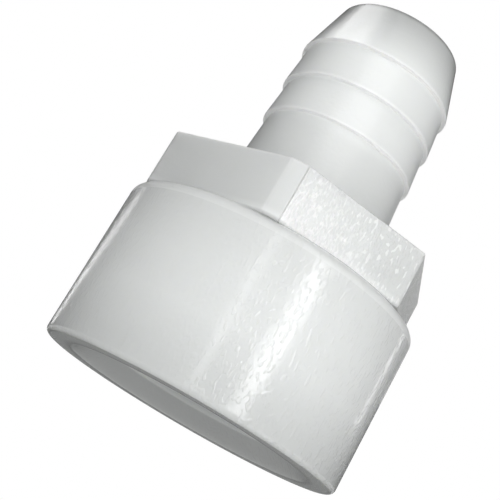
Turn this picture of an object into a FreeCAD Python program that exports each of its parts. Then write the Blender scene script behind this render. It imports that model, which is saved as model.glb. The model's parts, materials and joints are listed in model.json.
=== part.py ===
import FreeCAD, Part
import Sketcher
import math
import os

# Nylon hose barb adapter, moulded in one piece. A hose pushes over the ringed barb at the top, and a
# half-inch pipe end screws into the socket at the bottom. It stands on the socket's mouth: the origin
# is the centre of the mouth, and +Z runs along the axis to the tip of the barb.

NODE = "barb_adapter"

# Driving sizes in millimetres, angles in degrees.
SIZES = {
    # Socket body: a plain cylinder with a rounded rim at the mouth and a rounded shoulder.
    "body_diameter": 26.7,
    "body_length": 14.2,
    "shoulder_round": 0.9,
    "rim_round": 0.45,
    # Wrench hexagon above the body. Its corners are turned to the body's diameter, and they run down
    # past the rounded shoulder into the body by corner_run.
    "across_flats": 23.6,
    "hex_height": 4.8,
    "corner_run": 2.0,
    "hex_edge_round": 0.2,
    # Barb: saw-tooth rings for a half-inch hose, on a neck that flares towards the hexagon, and a long
    # nose that narrows to a thin wall round the waterway.
    "crest_diameter": 14.3,
    "ring_depth": 0.35,
    "crest_land": 0.3,
    "ring_pitch": 3.65,
    "neck_length": 6.7,
    "neck_flare": 0.45,
    "nose_length": 5.2,
    "tip_wall": 1.0,
    "nose_round": 0.4,
    # Inside: the pipe socket at the core diameter of its thread, with a wide lead-in at the mouth. Its
    # floor is a thick web below the top of the hexagon. The waterway runs from there through the barb.
    "core_diameter": 18.6,
    "lead_in_width": 1.65,
    "lead_in_angle": 45,
    "floor_thickness": 4.4,
    "waterway_diameter": 9.4,
    "throat_chamfer": 0.8,
    "tip_chamfer": 0.3,
}

RING_COUNT = 3
HEX_SIDES = 6

# How far a cutting outline stands clear of the surface that it cuts through.
OVERCUT = 1.0

# Lengths and volumes closer than this are the same.
TOLERANCE = 1e-6

# Heights above the mouth, as expressions in the driving sizes.
SHOULDER = "Sizes.body_length"
HEX_TOP = f"({SHOULDER} + Sizes.hex_height)"
HEX_FOOT = f"({SHOULDER} - Sizes.corner_run)"
RING_BACKS = [f"({HEX_TOP} + Sizes.neck_length + {ring} * Sizes.ring_pitch)" for ring in range(RING_COUNT)]
TIP = f"({RING_BACKS[-1]} + Sizes.nose_length)"
SOCKET_FLOOR = f"({HEX_TOP} - Sizes.floor_thickness)"

# Radii.
BODY = "(Sizes.body_diameter / 2)"
HEX_CORNER = f"(Sizes.across_flats / 2 / cos(180 deg / {HEX_SIDES}))"
CREST = "(Sizes.crest_diameter / 2)"
ROOT = f"({CREST} - Sizes.ring_depth)"
NECK_BASE = f"({ROOT} + Sizes.neck_flare)"
CORE = "(Sizes.core_diameter / 2)"
WATERWAY = "(Sizes.waterway_diameter / 2)"
NOSE_END = f"({WATERWAY} + Sizes.tip_wall)"

# Numbers that a sketch constraint uses for the sketch's own axes, and for the ends of a line. The
# origin is the start of the horizontal axis.
HORIZONTAL_AXIS, VERTICAL_AXIS = -1, -2
START, END = 1, 2

# The property that holds the size of each kind of edge finish.
FINISH_SIZES = {"Fillet": "Radius", "Chamfer": "Size"}

doc = FreeCAD.newDocument("HoseBarbAdapter")


def make_sheet(sizes):
    """The sheet of driving sizes, one row for each: its name and its value."""
    table = doc.addObject("Spreadsheet::Sheet", "Sizes")
    for row, (alias, value) in enumerate(sizes.items(), start=1):
        table.set(f"A{row}", alias)
        table.set(f"B{row}", str(value))
        table.setAlias(f"B{row}", alias)
    doc.recompute()
    return table


sheet = make_sheet(SIZES)


def value_of(expression):
    """What an expression in the driving sizes comes to, in millimetres."""
    return float(sheet.evalExpression(expression))


def origin_plane(body, role):
    """One of the body's own origin planes."""
    return next(feature for feature in body.Origin.OriginFeatures if feature.Role == role)


def hold(sketch, kind, line, expression, axis):
    """Ties the start of a line to its distance from the origin, or puts it on the axis where that is 0."""
    if expression == "0":
        sketch.addConstraint(Sketcher.Constraint("PointOnObject", line, START, axis))
        return
    distance = Sketcher.Constraint(kind, HORIZONTAL_AXIS, START, line, START, value_of(expression))
    row = sketch.addConstraint(distance)
    sketch.setExpression(f"Constraints[{row}]", expression)


def half_section(body, name, corners):
    """A closed outline on the XZ plane. Each corner is its distance from the axis and its height."""
    sketch = body.newObject("Sketcher::SketchObject", name)
    sketch.AttachmentSupport = (origin_plane(body, "XZ_Plane"), "")
    sketch.MapMode = "FlatFace"
    places = [FreeCAD.Vector(value_of(across), value_of(height), 0) for across, height in corners]
    following = places[1:] + places[:1]
    for start, end in zip(places, following):
        sketch.addGeometry(Part.LineSegment(start, end), False)
    for line in range(len(corners)):
        after = (line + 1) % len(corners)
        sketch.addConstraint(Sketcher.Constraint("Coincident", line, END, after, START))
    for line, (across, height) in enumerate(corners):
        hold(sketch, "DistanceX", line, across, VERTICAL_AXIS)
        hold(sketch, "DistanceY", line, height, HORIZONTAL_AXIS)
    doc.recompute()
    return sketch


def turned(body, kind, name, sketch):
    """A full turn of a half section about the axis, added to the body or cut from it."""
    feature = body.newObject(kind, name)
    feature.Profile = sketch
    feature.ReferenceAxis = (sketch, ["V_Axis"])
    feature.Angle = 360
    sketch.Visibility = False
    doc.recompute()
    return feature


def level_edges(shape, height, least, most):
    """Names of the shape's edges whose ends lie at this height and between these two radii."""
    names = []
    for index, edge in enumerate(shape.Edges, start=1):
        ends = [vertex.Point for vertex in edge.Vertexes]
        level = all(abs(end.z - height) < TOLERANCE for end in ends)
        within = all(least - TOLERANCE < math.hypot(end.x, end.y) < most + TOLERANCE for end in ends)
        if level and within:
            names.append(f"Edge{index}")
    if not names:
        raise RuntimeError(f"no edge at height {height} between radii {least} and {most}")
    return names


def finish_edge(body, kind, name, solid, height, least, most, alias):
    """A fillet or chamfer of a named size on the edges at one height, between two radii."""
    feature = body.newObject(f"PartDesign::{kind}", name)
    feature.Base = (solid, level_edges(solid.Shape, value_of(height), value_of(least), value_of(most)))
    feature.setExpression(FINISH_SIZES[kind], f"Sizes.{alias}")
    doc.recompute()
    return feature


def check_cut(before, after):
    """A cut that misses the solid shows no error, so its volume is compared."""
    if after.Shape.Volume >= before.Shape.Volume - TOLERANCE:
        raise RuntimeError(f"{after.Label} removes nothing")


def barb_corners():
    """The barb's outline from the hexagon to the tip: the neck, a saw tooth for each ring, the nose."""
    corners = [(NECK_BASE, HEX_TOP)]
    for back in RING_BACKS:
        corners.append((ROOT, back))
        corners.append((CREST, back))
        corners.append((CREST, f"({back} + Sizes.crest_land)"))
    corners.append((NOSE_END, TIP))
    return corners


def make_outside(body):
    """The turned outside: the socket body, the core of the hexagon and the barb."""
    corners = [("0", "0"), (BODY, "0"), (BODY, SHOULDER), (NECK_BASE, SHOULDER)]
    corners += barb_corners()
    corners.append(("0", TIP))
    section = half_section(body, "OutsideSection", corners)
    outside = turned(body, "PartDesign::Revolution", "Outside", section)
    rim = finish_edge(body, "Fillet", "RimRound", outside, "0", BODY, BODY, "rim_round")
    shoulder = finish_edge(body, "Fillet", "ShoulderRound", rim, SHOULDER, BODY, BODY, "shoulder_round")
    return finish_edge(body, "Fillet", "NoseRound", shoulder, TIP, NOSE_END, NOSE_END, "nose_round")


def make_hexagon(body):
    """The wrench hexagon, with a corner along +X, and its corners turned down to the body's diameter.
    A small round runs along its top edge."""
    prism = body.newObject("PartDesign::AdditivePrism", "Hexagon")
    prism.AttachmentSupport = (origin_plane(body, "XY_Plane"), "")
    prism.MapMode = "FlatFace"
    prism.Polygon = HEX_SIDES
    prism.setExpression("Circumradius", HEX_CORNER)
    prism.setExpression("Height", f"{HEX_TOP} - {HEX_FOOT}")
    prism.setExpression(".AttachmentOffset.Base.z", HEX_FOOT)
    doc.recompute()
    past = f"({HEX_CORNER} + {OVERCUT})"
    below = f"({HEX_FOOT} - {OVERCUT})"
    above = f"({HEX_TOP} + {OVERCUT})"
    corners = [(BODY, below), (past, below), (past, above), (BODY, above)]
    section = half_section(body, "TurningSection", corners)
    turning = turned(body, "PartDesign::Groove", "CornerTurning", section)
    if value_of(HEX_CORNER) > value_of(BODY):
        check_cut(prism, turning)
    off_neck = f"({NECK_BASE} + Sizes.hex_edge_round)"
    return finish_edge(body, "Fillet", "HexagonRound", turning, HEX_TOP, off_neck, past, "hex_edge_round")


def make_inside(body, solid):
    """The pipe socket with its lead-in and flat floor, and the waterway through the barb."""
    beyond = f"({TIP} + {OVERCUT})"
    corners = [
        ("0", "0"),
        (f"({CORE} + Sizes.lead_in_width)", "0"),
        (CORE, "(Sizes.lead_in_width / tan(Sizes.lead_in_angle * 1 deg))"),
        (CORE, SOCKET_FLOOR),
        (f"({WATERWAY} + Sizes.throat_chamfer)", SOCKET_FLOOR),
        (WATERWAY, f"({SOCKET_FLOOR} + Sizes.throat_chamfer)"),
        (WATERWAY, beyond),
        ("0", beyond),
    ]
    section = half_section(body, "InsideSection", corners)
    inside = turned(body, "PartDesign::Groove", "Inside", section)
    check_cut(solid, inside)
    return finish_edge(body, "Chamfer", "TipChamfer", inside, TIP, WATERWAY, WATERWAY, "tip_chamfer")


def make_adapter():
    """The whole fitting as one body."""
    body = doc.addObject("PartDesign::Body", "Adapter")
    body.Label = NODE
    make_outside(body)
    body.Tip = make_inside(body, make_hexagon(body))
    body.Placement = FreeCAD.Placement()
    doc.recompute()
    return body


def check_document():
    """Stops if any object failed to build."""
    for item in doc.Objects:
        if "Invalid" in item.State or "Error" in item.State:
            raise RuntimeError(f"{item.Label} failed: {item.State}")


def write_solid(body):
    """Writes the body's one solid as a STEP file named after its label."""
    shape = body.Shape
    if shape.isNull() or not shape.isValid() or len(shape.Solids) != 1:
        raise RuntimeError(f"{body.Label} isn't one valid solid")
    os.makedirs("parts", exist_ok=True)
    shape.exportStep(f"parts/{body.Label}.step")
    box = shape.optimalBoundingBox(False)
    print(f"{body.Label}: {box.XLength:.2f} x {box.YLength:.2f} x {box.ZLength:.2f} mm")
    print(f"volume {shape.Volume:.0f} mm3, {len(shape.Faces)} faces")


adapter = make_adapter()
check_document()
write_solid(adapter)
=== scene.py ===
import bpy
import json
import math
from mathutils import Euler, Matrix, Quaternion, Vector


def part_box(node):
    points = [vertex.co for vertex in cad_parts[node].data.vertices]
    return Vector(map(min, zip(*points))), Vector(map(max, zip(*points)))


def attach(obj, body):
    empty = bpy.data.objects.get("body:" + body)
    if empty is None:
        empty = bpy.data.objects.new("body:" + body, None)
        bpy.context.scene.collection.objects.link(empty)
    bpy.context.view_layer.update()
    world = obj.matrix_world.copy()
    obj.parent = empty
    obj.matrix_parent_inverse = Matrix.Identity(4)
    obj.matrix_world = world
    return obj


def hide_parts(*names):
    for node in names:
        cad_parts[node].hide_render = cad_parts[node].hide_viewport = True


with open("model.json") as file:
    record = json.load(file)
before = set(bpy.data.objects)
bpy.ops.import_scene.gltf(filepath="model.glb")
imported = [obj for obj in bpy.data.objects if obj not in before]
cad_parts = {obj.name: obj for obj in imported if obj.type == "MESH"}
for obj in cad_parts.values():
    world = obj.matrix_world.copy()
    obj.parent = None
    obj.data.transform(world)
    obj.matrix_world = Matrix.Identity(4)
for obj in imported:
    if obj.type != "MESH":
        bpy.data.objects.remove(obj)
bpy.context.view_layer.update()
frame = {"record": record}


# Outside of the fitting.
# The real piece is one injection moulding in natural nylon. Everything round on its outside shares one axis:
# the socket's body with its rounded rim and shoulder, the neck, the three saw-tooth rings and the nose.

MM = 0.001
mounts = {mount["name"]: mount for mount in frame["record"]["mounts"]}
lowest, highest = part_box("barb_adapter")
BODY_RADIUS = highest.x
TIP = highest.z
RIM_ROUND = 0.45 * MM
SHOULDER = 14.2 * MM
SHOULDER_ROUND = 0.9 * MM
HEX_HEIGHT = 4.8 * MM
HEX_TOP = SHOULDER + HEX_HEIGHT
CREST = mounts["hose_barb"]["dims"]["r_mm"] * MM
RING_DEPTH = 0.35 * MM
ROOT = CREST - RING_DEPTH
NECK_FLARE = 0.45 * MM
NECK_BASE = ROOT + NECK_FLARE
NECK_FILLET = 0.3 * MM
NECK_LENGTH = 6.7 * MM
RING_PITCH = 3.65 * MM
RING_COUNT = 3
RING_BACKS = [HEX_TOP + NECK_LENGTH + ring * RING_PITCH for ring in range(RING_COUNT)]
CREST_LAND = 0.15 * MM
BACK_SLOPE = 0.06 * MM
WATERWAY = mounts["waterway"]["dims"]["r_mm"] * MM
TIP_WALL = 1.0 * MM
NOSE_END = WATERWAY + TIP_WALL
NOSE_ROUND = 0.4 * MM
TURN_STEPS = 240


def arc(centre, radius, first, last, steps):
    """Points on an arc in the half section: distance from the axis and height."""
    points = []
    for step in range(steps + 1):
        angle = math.radians(first + (last - first) * step / steps)
        points.append((centre[0] + radius * math.cos(angle), centre[1] + radius * math.sin(angle)))
    return points


def close_solid():
    """Turns all faces of the piece in edit mode outwards, and leaves edit mode."""
    bpy.ops.mesh.select_all(action="SELECT")
    bpy.ops.mesh.normals_make_consistent(inside=False)
    bpy.ops.object.mode_set(mode="OBJECT")


def turn(name, section):
    """A closed solid of revolution, drawn up from its lowest ring by extruding and scaling the ring."""
    bpy.ops.object.select_all(action="DESELECT")
    radius, height = section[0]
    bpy.ops.mesh.primitive_circle_add(
        vertices=TURN_STEPS, radius=radius, fill_type="NGON", location=(0, 0, height))
    piece = bpy.context.object
    piece.name = name
    bpy.ops.object.transform_apply(location=True, rotation=True, scale=True)
    bpy.ops.object.mode_set(mode="EDIT")
    bpy.ops.mesh.select_all(action="SELECT")
    for next_radius, next_height in section[1:]:
        bpy.ops.mesh.extrude_region_move(TRANSFORM_OT_translate={"value": (0, 0, next_height - height)})
        scale = next_radius / radius
        bpy.ops.transform.resize(value=(scale, scale, 1), center_override=(0, 0, next_height))
        radius, height = next_radius, next_height
    close_solid()
    return piece


outside_section = arc((BODY_RADIUS - RIM_ROUND, RIM_ROUND), RIM_ROUND, -90, 0, steps=8)
outside_section += arc(
    (BODY_RADIUS - SHOULDER_ROUND, SHOULDER - SHOULDER_ROUND), SHOULDER_ROUND, 0, 90, steps=12)
outside_section += [(NECK_BASE + NECK_FILLET, SHOULDER)]
outside_section += arc((NECK_BASE + NECK_FILLET, HEX_TOP + NECK_FILLET), NECK_FILLET, 270, 180, steps=6)
for back in RING_BACKS:
    outside_section += [(ROOT, back - BACK_SLOPE / 2), (CREST, back + BACK_SLOPE / 2)]
    outside_section += [(CREST, back + CREST_LAND)]
nose_slope = math.atan2(CREST - NOSE_END, TIP - RING_BACKS[-1] - CREST_LAND)
nose_setback = NOSE_ROUND * math.tan((math.pi / 2 - nose_slope) / 2)
nose_centre = (NOSE_END - nose_setback, TIP - NOSE_ROUND)
outside_section += arc(nose_centre, NOSE_ROUND, math.degrees(nose_slope), 90, steps=6)
fitting = turn("nylon_fitting", outside_section)


# Wrench hexagon.
# It is moulded in one with the body, in the same nylon, and its corners stay within the body's diameter. The
# mould's halves don't quite match, so the near flats are a little out of true, with a line beside one corner,
# cut as a groove and darkened by painted shade.

CORNER_REACH = 13.34 * MM
PARTING_AZIMUTH = -114.3
HEX_CORNERS = [
    (13.15 * MM, -176.4), (CORNER_REACH, -120.5), (CORNER_REACH, PARTING_AZIMUTH), (CORNER_REACH, -61.3),
    (CORNER_REACH, -4.2), (CORNER_REACH, 2.2), (CORNER_REACH, 57.8), (CORNER_REACH, 62.2),
    (CORNER_REACH, 117.8), (CORNER_REACH, 122.2), (12.7 * MM, 171.7)]
FOOT_DEPTH = 0.15 * MM
HEX_EDGE_ROUND = 0.2 * MM
HEX_EDGE_ANGLE = 10
PARTING_WIDTH = 0.26 * MM
PARTING_OVERRUN = 0.05 * MM


def around(radius, azimuth, height):
    """A place at this distance from the axis, azimuth in degrees and height."""
    direction = math.radians(azimuth)
    return Vector((radius * math.cos(direction), radius * math.sin(direction), height))


def start_outline(name, place):
    """A new piece that is one point so far, left in edit mode to be drawn on from there."""
    bpy.ops.object.select_all(action="DESELECT")
    bpy.ops.mesh.primitive_plane_add(size=MM, location=place)
    piece = bpy.context.object
    piece.name = name
    bpy.ops.object.transform_apply(location=True, rotation=True, scale=True)
    bpy.ops.object.mode_set(mode="EDIT")
    bpy.ops.mesh.select_all(action="SELECT")
    bpy.ops.mesh.merge(type="CENTER")
    return piece


def combine(piece, other, operation):
    """Joins another solid to a piece, or cuts it away, and removes the other."""
    bpy.ops.object.select_all(action="DESELECT")
    bpy.context.view_layer.objects.active = piece
    boolean = piece.modifiers.new(operation.title(), "BOOLEAN")
    boolean.operation = operation
    boolean.object = other
    boolean.solver = "EXACT"
    bpy.ops.object.modifier_apply(modifier=boolean.name)
    bpy.data.objects.remove(other)


corners = [around(reach, azimuth, HEX_TOP) for reach, azimuth in HEX_CORNERS]
hexagon = start_outline("hexagon", corners[0])
for start, end in zip(corners, corners[1:]):
    bpy.ops.mesh.extrude_vertices_move(TRANSFORM_OT_translate={"value": end - start})
bpy.ops.mesh.select_all(action="SELECT")
bpy.ops.mesh.edge_face_add()
bpy.ops.mesh.extrude_region_move(TRANSFORM_OT_translate={"value": (0, 0, -HEX_HEIGHT - FOOT_DEPTH)})
close_solid()
rounding = hexagon.modifiers.new("Rounding", "BEVEL")
rounding.width = HEX_EDGE_ROUND
rounding.segments = 3
rounding.limit_method = "ANGLE"
rounding.angle_limit = math.radians(HEX_EDGE_ANGLE)
bpy.context.view_layer.objects.active = hexagon
bpy.ops.object.modifier_apply(modifier=rounding.name)
combine(fitting, hexagon, "UNION")

bpy.ops.object.select_all(action="DESELECT")
bpy.ops.mesh.primitive_cylinder_add(
    vertices=4, radius=PARTING_WIDTH / 2, depth=HEX_HEIGHT, rotation=(0, 0, math.radians(PARTING_AZIMUTH)),
    location=around(CORNER_REACH, PARTING_AZIMUTH, HEX_TOP - HEX_HEIGHT / 2 + PARTING_OVERRUN))
parting_line = bpy.context.object
parting_line.name = "parting_line"
bpy.ops.object.transform_apply(location=True, rotation=True, scale=True)
combine(fitting, parting_line, "DIFFERENCE")


# Socket and waterway.
# The hollow is formed by a core pin of the mould: a wide lead-in at the mouth, the pipe socket down to its
# flat floor, a small chamfer at the throat, and the waterway out through the barb's tip.

CORE = mounts["pipe_socket"]["dims"]["r_mm"] * MM
LEAD_IN = 1.65 * MM
LEAD_IN_ANGLE = 45
FLOOR_THICKNESS = 4.4 * MM
SOCKET_FLOOR = HEX_TOP - FLOOR_THICKNESS
THROAT = 0.8 * MM
TIP_CHAMFER = 0.3 * MM
MOUTH_ROUND = 0.2 * MM
OVERCUT = 1.0 * MM

mouth_edge = CORE + LEAD_IN + MOUTH_ROUND * math.tan(math.radians(LEAD_IN_ANGLE) / 2)
core_pin_section = [(mouth_edge, -OVERCUT)]
core_pin_section += arc((mouth_edge, MOUTH_ROUND), MOUTH_ROUND, -90, -90 - LEAD_IN_ANGLE, steps=4)
core_pin_section += [(CORE, LEAD_IN), (CORE, SOCKET_FLOOR)]
core_pin_section += [(WATERWAY + THROAT, SOCKET_FLOOR), (WATERWAY, SOCKET_FLOOR + THROAT)]
core_pin_section += [(WATERWAY, TIP - TIP_CHAMFER), (WATERWAY + TIP_CHAMFER + OVERCUT, TIP + OVERCUT)]
combine(fitting, turn("core_pin", core_pin_section), "DIFFERENCE")


# Pipe thread.
# The socket's wall carries a parallel half-inch pipe thread of 14 turns to the inch, formed by the screwed
# part of the core pin. It rises just behind the lead-in and fades out before the floor.

INCH = 25.4 * MM
THREAD_PITCH = INCH / 14
THREAD_MAJOR = 20.955 / 2 * MM
THREAD_START = 2.2 * MM
THREAD_END = 13.0 * MM
THREAD_FADE = 1.6 * MM
THREAD_FLAT = 0.12
THREAD_STEPS = 96
THREAD_SEAM = 0.001 * MM
TURNS_BELOW = 3
GROOVE_POINTS = 10
HIDDEN = 0.2 * MM
ON_PLANE = 0.0001 * MM


def groove_radius(share):
    """Distance of the thread's groove from the axis, for a share of the pitch: a rounded V."""
    from_crest = 1 - abs(2 * share - 1)
    rise = min(max((from_crest - THREAD_FLAT) / (1 - 2 * THREAD_FLAT), 0), 1)
    return CORE - HIDDEN + (THREAD_MAJOR - CORE + HIDDEN) * rise * rise * (3 - 2 * rise)


lowest_turn = -TURNS_BELOW * THREAD_PITCH
turns = math.ceil((THREAD_END - lowest_turn) / THREAD_PITCH) + 1
screwed_core = start_outline("screwed_core", (groove_radius(0), 0, lowest_turn))
previous = groove_radius(0)
for point in range(1, turns * GROOVE_POINTS + 1):
    radius = groove_radius(point / GROOVE_POINTS % 1)
    bpy.ops.mesh.extrude_vertices_move(
        TRANSFORM_OT_translate={"value": (radius - previous, 0, THREAD_PITCH / GROOVE_POINTS)})
    previous = radius
bpy.ops.object.mode_set(mode="OBJECT")
screwing = screwed_core.modifiers.new("Screwing", "SCREW")
screwing.axis = "Z"
screwing.angle = math.radians(360)
screwing.screw_offset = THREAD_PITCH
screwing.steps = THREAD_STEPS
screwing.render_steps = THREAD_STEPS
bpy.ops.object.modifier_apply(modifier=screwing.name)
for vertex in screwed_core.data.vertices:
    reach = math.hypot(vertex.co.x, vertex.co.y)
    depth = min((THREAD_END - vertex.co.z) / THREAD_FADE, (vertex.co.z - THREAD_START) / THREAD_FADE, 1)
    faded = CORE - HIDDEN + (reach - CORE + HIDDEN) * max(depth, 0)
    vertex.co.x *= faded / reach
    vertex.co.y *= faded / reach
bpy.ops.object.mode_set(mode="EDIT")
bpy.ops.mesh.select_all(action="SELECT")
bpy.ops.mesh.remove_doubles(threshold=THREAD_SEAM)
for height, outwards in ((THREAD_END, 1), (0, -1)):
    bpy.ops.mesh.select_all(action="SELECT")
    bpy.ops.mesh.bisect(
        plane_co=(0, 0, height), plane_no=(0, 0, outwards), use_fill=True, clear_outer=True,
        threshold=ON_PLANE)
close_solid()
combine(fitting, screwed_core, "DIFFERENCE")


# Finish of the moulding.
# The flats and the turned faces meet in small rounds, so the faces carry the shading and the rounds only
# turn between them. Edges sharper than the mould's rounds stay crisp.

SHARP_EDGE = 32
SEAM = 0.0005 * MM
FACES_FIRST = 100

bpy.ops.object.select_all(action="DESELECT")
fitting.select_set(True)
bpy.context.view_layer.objects.active = fitting
bpy.ops.object.mode_set(mode="EDIT")
bpy.ops.mesh.select_all(action="SELECT")
bpy.ops.mesh.remove_doubles(threshold=SEAM)
bpy.ops.mesh.dissolve_degenerate(threshold=SEAM)
bpy.ops.object.mode_set(mode="OBJECT")
bpy.ops.object.shade_smooth_by_angle(angle=math.radians(SHARP_EDGE))
shading = fitting.modifiers.new("Shading", "WEIGHTED_NORMAL")
shading.keep_sharp = True
shading.weight = FACES_FIRST
bpy.ops.object.modifier_apply(modifier=shading.name)


# Natural nylon.
# The resin is milky and lets light in a little way. Painted shade darkens its colour at the mouth, the
# lead-in, the shoulder, the neck and the tip, and painted highlights lighten the ring crests, the foot of the
# flats and the hexagon's top edges. The mould's polish differs: past the parting line the flats are frosted,
# their grains lightened by painted highlights and painted glints, and the round body is nearly smooth, with
# specks that stand out most in a strip along one side. Painted shade also darkens the left flat, the strip at
# the near corner and the parting line.

NYLON = (0.815, 0.83, 0.823, 1)
REFRACTION = 1.53
LIGHT_REACH = 1.5 * MM
COLOUR_REACH = (1.0, 1.0, 0.95)

# Painted light and shade on the outer wall by height, as a multiple of the nylon's colour: painted shade at
# the mouth, under the shoulder, on the neck and as a dark outline at the tip, painted highlights at the foot
# of the flats and along the hexagon's top edges, and painted highlights by height above each ring's back.
PAINTED_SHADE_BY_HEIGHT = [
    (0 * MM, 0.95), (0.3 * MM, 0.82), (2 * MM, 0.88), (5.5 * MM, 1.0), (9 * MM, 1.0),
    (SHOULDER - 0.9 * MM, 0.93), (SHOULDER - 0.4 * MM, 0.79), (SHOULDER - 0.05 * MM, 0.84),
    (SHOULDER + 0.1 * MM, 1.12), (SHOULDER + 0.6 * MM, 1.0), (HEX_TOP - 0.25 * MM, 1.0),
    (HEX_TOP - 0.1 * MM, 1.12), (HEX_TOP + 0.05 * MM, 1.0), (HEX_TOP + 0.5 * MM, 0.80),
    (RING_BACKS[0] - 1 * MM, 0.92), (TIP - 4.5 * MM, 0.98), (TIP - 2.2 * MM, 0.80),
    (TIP - 0.5 * MM, 0.64), (TIP - 0.25 * MM, 0.40)]
PAINTED_RING_HIGHLIGHTS = [(-0.2 * MM, 1.0), (-0.03 * MM, 1.14), (0.08 * MM, 1.14), (0.3 * MM, 1.0)]

# Spans over which a part of the surface starts or ends: first as heights.
POLISH_ENDS = (SHOULDER - 1.2 * MM, SHOULDER - 0.7 * MM)
FLATS_START = (SHOULDER - 0.4 * MM, SHOULDER - 0.15 * MM)
FLATS_END = (HEX_TOP - 0.12 * MM, HEX_TOP - 0.02 * MM)
FOOT_ENDS = (SHOULDER + 0.3 * MM, SHOULDER + 1.4 * MM)
GRAINS_THIN = (SHOULDER + 1 * MM, HEX_TOP)
BARB_STARTS = (HEX_TOP - 0.2 * MM, HEX_TOP + 0.4 * MM)
NOSE_STARTS = (RING_BACKS[-1], RING_BACKS[-1] + 0.3 * MM)
LEAD_IN_ENDS = (LEAD_IN - 0.1 * MM, LEAD_IN + 0.1 * MM)
# As distances from the axis, the last of them along X.
OUTSIDE_STARTS = (CORE + LEAD_IN, BODY_RADIUS - 1.5 * MM)
TIP_RIM = (NOSE_END - 0.3 * MM, NOSE_END - 0.1 * MM)
LEFT_FLAT_ENDS = (-13.5 * MM, -5 * MM)
# As distances from the plane through the axis and the parting line.
STRIP_ENDS = (-12.45 * MM, -12.0 * MM)
SMOOTH_STARTS = (-12.9 * MM, -12.2 * MM)
CORNER_STARTS = (-1.5 * MM, -1.3 * MM)
LINE_STARTS = (-0.09 * MM, -0.03 * MM)
FROST_STARTS = (-0.05 * MM, 0.05 * MM)
LINE_ENDS = (0.03 * MM, 0.09 * MM)
WHITE_ENDS = (1 * MM, 10 * MM)
WHITE_FOOT_ENDS = (5 * MM, 12 * MM)

# Noise in the surface: how fine each kind is, where it counts, and how deep it goes in millimetres.
PEEL_SCALE = 2600
PEEL_DEPTH = 0.015
PORE_SCALE = 4000
PORE_DEPTH = 0.02
FROST_SCALE = 5500
FROST_DEPTH = 0.05
DRAWN_OUT = (1, 1, 0.45)
SPECKS = (0.54, 0.72)
DOTS = (0.65, 0.7)
GRAINS = (0.42, 0.66)
WHITE_GRAINS = (0.4, 0.62)
SHALLOW_SPECKS = 0.6
DEEP_SPECKS = 4

# How much the painted highlights, painted glints and painted shade lighten or darken the colour, and how each
# finish changes the roughness.
PAINTED_HIGHLIGHT_WHITE = 0.07
WHITE_GRAIN = 0.17
PAINTED_GLINT_WHITE = 0.2
PAINTED_SHADE_BEYOND_WHITE = 0.11
PAINTED_SHADE_AT_CORNER = 0.06
PAINTED_SHADE_LEFT_FLAT = 0.22
PAINTED_SHADE_IN_PARTING = 0.2
PAINTED_SHADE_IN_LEAD_IN = 0.3
PAINTED_HIGHLIGHT_AT_FOOT = 0.7
DOTS_HIDDEN = 0.7
THINNING = 0.5
ROUGHNESS = 0.28
POLISH = 0.13
SHOULDER_ROUGHNESS = 0.3


class Wire:
    """A socket's value. Arithmetic on it adds Math nodes."""

    def __init__(self, finish, socket):
        self.finish = finish
        self.socket = socket

    def maths(self, operation, *values):
        return self.finish.node("ShaderNodeMath", {"operation": operation}, dict(enumerate(values)))

    def __add__(self, other):
        return self.maths("ADD", self, other)

    def __sub__(self, other):
        return self.maths("SUBTRACT", self, other)

    def __mul__(self, other):
        return self.maths("MULTIPLY", self, other)

    def __radd__(self, other):
        return self.maths("ADD", other, self)

    def __rsub__(self, other):
        return self.maths("SUBTRACT", other, self)

    def __rmul__(self, other):
        return self.maths("MULTIPLY", other, self)


class Finish:
    """The nodes of one material, or of the world."""

    def __init__(self, owner):
        owner.use_nodes = True
        self.tree = owner.node_tree
        self.tree.nodes.clear()

    def node(self, kind, settings=None, inputs=None, output=0):
        made = self.tree.nodes.new(kind)
        for name, value in (settings or {}).items():
            if name == "stops":
                self.set_stops(made.color_ramp.elements, value)
            else:
                setattr(made, name, value)
        for name, value in (inputs or {}).items():
            if isinstance(value, Wire):
                self.tree.links.new(value.socket, made.inputs[name])
            else:
                made.inputs[name].default_value = value
        return Wire(self, made.outputs[output]) if made.outputs else None

    def set_stops(self, elements, stops):
        while len(elements) < len(stops):
            elements.new(0)
        for element, (position, colour) in zip(elements, sorted(stops)):
            element.position = position
            element.color = colour


def ramp(value, span):
    """0 up to the start of the span, 1 from its end, and a soft rise between them."""
    return value.finish.node("ShaderNodeMapRange", {"interpolation_type": "SMOOTHSTEP"}, {
        "Value": value, "From Min": span[0], "From Max": span[1]})


def noise(place, scale, detail):
    """Blotches between 0 and 1, so many to the metre, with finer ones on them where detail is 1."""
    return place.finish.node("ShaderNodeTexNoise", inputs={
        "Vector": place, "Scale": scale, "Detail": detail, "Roughness": 0.5})


nylon = bpy.data.materials.new("nylon")
finish = Finish(nylon)

# Where a point lies. Distance from the parting plane is positive towards larger azimuths.
place = finish.node("ShaderNodeTexCoord", output="Object")
height = finish.node("ShaderNodeSeparateXYZ", inputs={0: place}, output="Z")
along = finish.node("ShaderNodeSeparateXYZ", inputs={0: place}, output="X")
flattened = finish.node("ShaderNodeVectorMath", {"operation": "MULTIPLY"}, {0: place, 1: (1, 1, 0)})
from_axis = finish.node("ShaderNodeVectorMath", {"operation": "LENGTH"}, {0: flattened}, output="Value")
across = around(1, PARTING_AZIMUTH + 90, 0)
from_parting = finish.node(
    "ShaderNodeVectorMath", {"operation": "DOT_PRODUCT"}, {0: place, 1: across}, output="Value")

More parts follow.
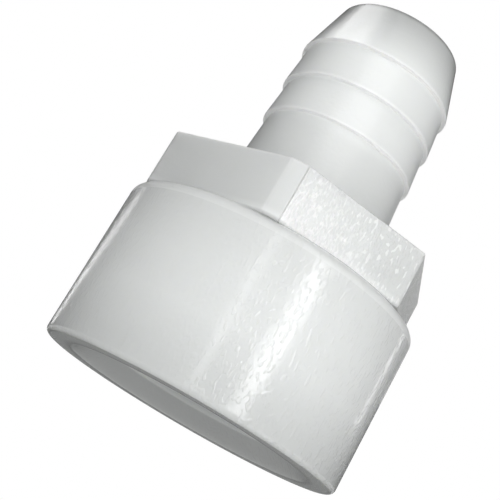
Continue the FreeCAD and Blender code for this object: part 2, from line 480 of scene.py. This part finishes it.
# The parts of the surface that differ.
above_shoulder = ramp(height, FLATS_START)
on_body = 1 - above_shoulder
polished = 1 - ramp(height, POLISH_ENDS)
shoulder_round = 1 - polished - above_shoulder
outside_socket = ramp(from_axis, OUTSIDE_STARTS)
on_flats = (above_shoulder - ramp(height, FLATS_END)) * outside_socket
on_barb = ramp(height, BARB_STARTS) * ramp(from_axis, TIP_RIM)
on_nose = ramp(height, NOSE_STARTS)
outer_wall = finish.node("ShaderNodeMath", {"operation": "MAXIMUM"}, {0: outside_socket, 1: on_barb})
# Painted shade: the lead-in inside the mouth is darker.
lead_in = (1 - outside_socket) * (1 - ramp(height, LEAD_IN_ENDS))
frosted_half = ramp(from_parting, FROST_STARTS)
frosted = frosted_half * on_flats
# Painted shade: the left flat is darker towards its far edge.
painted_shade_to_left = on_flats * (1 - ramp(along, LEFT_FLAT_ENDS))
# Painted shade darkens the narrow strip at the near corner.
corner_strip = on_flats * (ramp(from_parting, CORNER_STARTS) - frosted_half)
# Painted shade darkens a thin line in the parting groove.
painted_shade_line = (ramp(from_parting, LINE_STARTS) - ramp(from_parting, LINE_ENDS)) * on_flats
smooth_side = ramp(from_parting, SMOOTH_STARTS) - frosted_half
left_strip = 1 - ramp(from_parting, STRIP_ENDS)

# The relief: an even peel, specks on the body and grains in the frost.
stretched = finish.node("ShaderNodeMapping", inputs={"Vector": place, "Scale": DRAWN_OUT})
peel = noise(place, PEEL_SCALE, 1)
pores = noise(stretched, PORE_SCALE, 0)
frost = noise(stretched, FROST_SCALE, 1)
specks = ramp(pores, SPECKS) * on_body * (1 - SHALLOW_SPECKS * smooth_side + DEEP_SPECKS * left_strip)
grains = frosted * ramp(frost, GRAINS)
relief = peel * PEEL_DEPTH + specks * PORE_DEPTH + grains * FROST_DEPTH
bumps = finish.node("ShaderNodeBump", inputs={"Strength": 1.0, "Distance": MM, "Height": relief})

# A painted highlight makes the frost whitest beside the parting line and along the foot of the flat, most on
# its grains. Beyond that painted shade darkens the frost, and painted white dots stand for glints.
foot = (1 - ramp(height, FOOT_ENDS)) * (1 - ramp(from_parting, WHITE_FOOT_ENDS))
beside_parting = (1 - ramp(from_parting, WHITE_ENDS)) * (1 - THINNING * ramp(height, GRAINS_THIN))
whitest = 1 - (1 - beside_parting) * (1 - PAINTED_HIGHLIGHT_AT_FOOT * foot)
painted_glints = PAINTED_GLINT_WHITE * ramp(pores, DOTS) * (1 - DOTS_HIDDEN * whitest)
frost_and_painted_highlight = whitest * (PAINTED_HIGHLIGHT_WHITE + WHITE_GRAIN * ramp(frost, WHITE_GRAINS))
frost_white_and_painted_light = frosted * (frost_and_painted_highlight - PAINTED_SHADE_BEYOND_WHITE * (1 - whitest) + painted_glints)

# The colour, with its painted light and shade, and the polish.
# Painted shade and painted highlights by height, multiplied into the nylon's colour on the outer wall only.
painted_shade_by_height = PAINTED_SHADE_BY_HEIGHT + [(back + above, shade) for back in RING_BACKS for above, shade in PAINTED_RING_HIGHLIGHTS]
wall_stops = [(rise / TIP, (shade, shade, shade, 1)) for rise, shade in painted_shade_by_height]
wall = finish.node("ShaderNodeValToRGB", {"stops": wall_stops}, {0: height * (1 / TIP)})
shaded = finish.node("ShaderNodeMix", {"data_type": "RGBA", "blend_type": "MULTIPLY"}, {
    "Factor": outer_wall, 6: NYLON, 7: wall}, output=2)
# Painted shade on the corner strip, the left flat, the parting line and the lead-in, against the frost's
# white.
darker = PAINTED_SHADE_AT_CORNER * corner_strip + PAINTED_SHADE_LEFT_FLAT * painted_shade_to_left + PAINTED_SHADE_IN_PARTING * painted_shade_line
lightness = 1 - darker - PAINTED_SHADE_IN_LEAD_IN * lead_in + frost_white_and_painted_light
colour = finish.node("ShaderNodeVectorMath", {"operation": "SCALE"}, {0: shaded, "Scale": lightness})
roughness = ROUGHNESS - POLISH * (polished + frosted + on_nose) + SHOULDER_ROUGHNESS * shoulder_round
surface = finish.node("ShaderNodeBsdfPrincipled", {"subsurface_method": "RANDOM_WALK"}, {
    "Base Color": colour, "Roughness": roughness, "IOR": REFRACTION, "Subsurface Weight": 1.0,
    "Subsurface Radius": COLOUR_REACH, "Subsurface Scale": LIGHT_REACH, "Normal": bumps})
finish.node("ShaderNodeOutputMaterial", inputs={"Surface": surface})
fitting.data.materials.clear()
fitting.data.materials.append(nylon)
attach(fitting, "root")
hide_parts("barb_adapter")


# Floor.
# A plain pale floor that the fitting stands on by its mouth. It is open under the socket, it fades to white
# with distance, and seen from below it doesn't hide the fitting.

FLOOR_RADIUS = 0.6
FLOOR_OPENING = 12.95 * MM
FLOOR_SIDES = 160
FLOOR_FADES = (0.1, 0.3)
FLOOR_COLOUR = (0.9, 0.9, 0.9, 1)
WHITE = (1, 1, 1, 1)

bpy.ops.object.select_all(action="DESELECT")
bpy.ops.mesh.primitive_circle_add(vertices=FLOOR_SIDES, radius=FLOOR_OPENING, fill_type="NOTHING")
floor = bpy.context.object
floor.name = "floor"
bpy.ops.object.mode_set(mode="EDIT")
bpy.ops.mesh.select_all(action="SELECT")
bpy.ops.mesh.extrude_edges_move(TRANSFORM_OT_translate={"value": (0, 0, 0)})
scale = FLOOR_RADIUS / FLOOR_OPENING
bpy.ops.transform.resize(value=(scale, scale, 1), center_override=(0, 0, 0))
bpy.ops.object.mode_set(mode="OBJECT")
for face in floor.data.polygons:
    if face.normal.z < 0:
        face.flip()
floor_material = bpy.data.materials.new("floor")
finish = Finish(floor_material)
paint = finish.node("ShaderNodeBsdfDiffuse", inputs={"Color": FLOOR_COLOUR})
white = finish.node("ShaderNodeEmission", inputs={"Color": WHITE, "Strength": 1.0})
clear = finish.node("ShaderNodeBsdfTransparent")
spot = finish.node("ShaderNodeTexCoord", output="Object")
away = finish.node("ShaderNodeVectorMath", {"operation": "LENGTH"}, {0: spot}, output="Value")
seen = finish.node("ShaderNodeLightPath", output="Is Camera Ray")
top = finish.node("ShaderNodeMixShader", inputs={0: ramp(away, FLOOR_FADES) * seen, 1: paint, 2: white})
below = finish.node("ShaderNodeNewGeometry", output="Backfacing")
both = finish.node("ShaderNodeMixShader", inputs={0: below, 1: top, 2: clear})
finish.node("ShaderNodeOutputMaterial", inputs={"Surface": both})
floor.data.materials.append(floor_material)


# Light and background.
# Broad boxes in front, above and behind light the fitting, and narrow ones draw the highlights along it. Two
# are seen in its polish alone. Dark cards stand all round outside the picture, so that the pale outline shows
# on white. They are open on one side, and the nose reflects the white surround there.

SURROUND = 0.1
BELOW = 0.58
HORIZON = (-0.05, 0.05)
CARD_RADIUS = 0.55
CARD_COLUMNS = 90
CARD_ROWS = 60
CARD_COLOUR = (0, 0, 0, 1)
OPENING_AZIMUTHS = (120, 207)
OPENING_ELEVATIONS = (38, 66)

world = bpy.data.worlds.new("studio")
bpy.context.scene.world = world
finish = Finish(world)
straight = finish.node("ShaderNodeLightPath", output="Is Camera Ray")
mirrored = finish.node("ShaderNodeLightPath", output="Is Glossy Ray")
through = finish.node("ShaderNodeLightPath", output="Is Transmission Ray")
bearing = finish.node("ShaderNodeTexCoord", output="Generated")
rise = finish.node("ShaderNodeSeparateXYZ", inputs={0: bearing}, output="Z")
soft = finish.node("ShaderNodeMapRange", inputs={
    "Value": rise, "From Min": HORIZON[0], "From Max": HORIZON[1], "To Min": BELOW, "To Max": SURROUND})
strength = soft + (1 - soft) * (straight + mirrored + through)
backdrop = finish.node("ShaderNodeBackground", inputs={"Color": WHITE, "Strength": strength})
finish.node("ShaderNodeOutputWorld", inputs={"Surface": backdrop})

bpy.ops.object.select_all(action="DESELECT")
bpy.ops.mesh.primitive_uv_sphere_add(segments=CARD_COLUMNS, ring_count=CARD_ROWS, radius=CARD_RADIUS)
cards = bpy.context.object
cards.name = "dark_cards"
bpy.ops.object.mode_set(mode="EDIT")
bpy.ops.mesh.select_all(action="DESELECT")
bpy.ops.object.mode_set(mode="OBJECT")
for face in cards.data.polygons:
    azimuth = math.degrees(math.atan2(face.center.y, face.center.x)) % 360
    elevation = math.degrees(math.asin(face.center.normalized().z))
    within_width = OPENING_AZIMUTHS[0] < azimuth < OPENING_AZIMUTHS[1]
    face.select = within_width and OPENING_ELEVATIONS[0] < elevation < OPENING_ELEVATIONS[1]
bpy.ops.object.mode_set(mode="EDIT")
bpy.ops.mesh.delete(type="FACE")
bpy.ops.object.mode_set(mode="OBJECT")
card_material = bpy.data.materials.new("dark_card")
finish = Finish(card_material)
card = finish.node("ShaderNodeBsdfDiffuse", inputs={"Color": CARD_COLOUR})
finish.node("ShaderNodeOutputMaterial", inputs={"Surface": card})
cards.data.materials.append(card_material)
cards.visible_camera = False
cards.visible_diffuse = False
cards.visible_transmission = False
cards.visible_volume_scatter = False
cards.visible_shadow = False


def soft_box(name, azimuth, elevation, distance, size, brightness, lean=0, mirrored=True, shines=True):
    """A soft box aimed at the middle of the fitting, of this width and height, leaning by an angle. It is
    seen in the polish where it is mirrored, and lights the fitting where it shines."""
    bearing = math.radians(azimuth)
    rise = math.radians(elevation)
    towards = Vector((math.cos(bearing) * math.cos(rise), math.sin(bearing) * math.cos(rise), math.sin(rise)))
    light = bpy.data.lights.new(name, "AREA")
    light.shape = "RECTANGLE"
    light.size, light.size_y = size
    light.energy = brightness * math.pi * light.size * light.size_y
    stand = bpy.data.objects.new(name, light)
    stand.location = Vector((0, 0, (lowest.z + highest.z) / 2)) + towards * distance
    leaning = Quaternion((0, 0, 1), math.radians(lean))
    stand.rotation_euler = ((-towards).to_track_quat("-Z", "Y") @ leaning).to_euler()
    stand.visible_camera = False
    stand.visible_glossy = mirrored
    stand.visible_diffuse = shines
    bpy.context.collection.objects.link(stand)


soft_box("front_box", -112.1, 10, 0.45, (0.25, 0.16), 5.0, mirrored=False)
soft_box("upper_box", -110.1, 37, 0.5, (0.5, 0.18), 2.8)
soft_box("back_box", 70.9, 30, 0.45, (0.3, 0.2), 4.2, mirrored=False)
soft_box("key_box", -82.3, 2, 0.091, (0.020, 0.030), 7.0, lean=-17.5)
soft_box("streak_box", -116.1, 9.5, 0.33, (0.035, 0.11), 3.0)
soft_box("left_box", 110.1, 8, 0.343, (0.03, 0.155), 1.8, lean=-64.8)
soft_box("window_box", 168, 53, 0.35, (0.32, 0.07), 2.6, shines=False)
soft_box("window_edge", -128, 50, 0.35, (0.16, 0.07), 1.4, shines=False)
soft_box("side_box", -35, 0, 0.4, (0.2, 0.15), 1.3, mirrored=False)
soft_box("side_card", 51, 17, 0.4, (0.11, 0.11), 0.45)
soft_box("right_box", 16.9, 10.5, 0.35, (0.035, 0.05), 2.5)


# Camera.
# It looks up at the fitting from just below the mouth, rolled so that the fitting leans to the right.

CAMERA_PLACE = (-27.708 * MM, -80.242 * MM, -7.750 * MM)
CAMERA_TURN = (106.93628, -29.10782, -25.92610)
LENS = 74.448
SENSOR = 36
NEAREST = 1 * MM
FARTHEST = 20

camera = bpy.data.cameras.new("camera")
camera.lens = LENS
camera.sensor_width = SENSOR
camera.clip_start = NEAREST
camera.clip_end = FARTHEST
viewpoint = bpy.data.objects.new("camera", camera)
viewpoint.location = CAMERA_PLACE
viewpoint.rotation_euler = Euler([math.radians(angle) for angle in CAMERA_TURN])
bpy.context.collection.objects.link(viewpoint)
bpy.context.scene.camera = viewpoint
bpy.context.scene.view_settings.view_transform = "Standard"
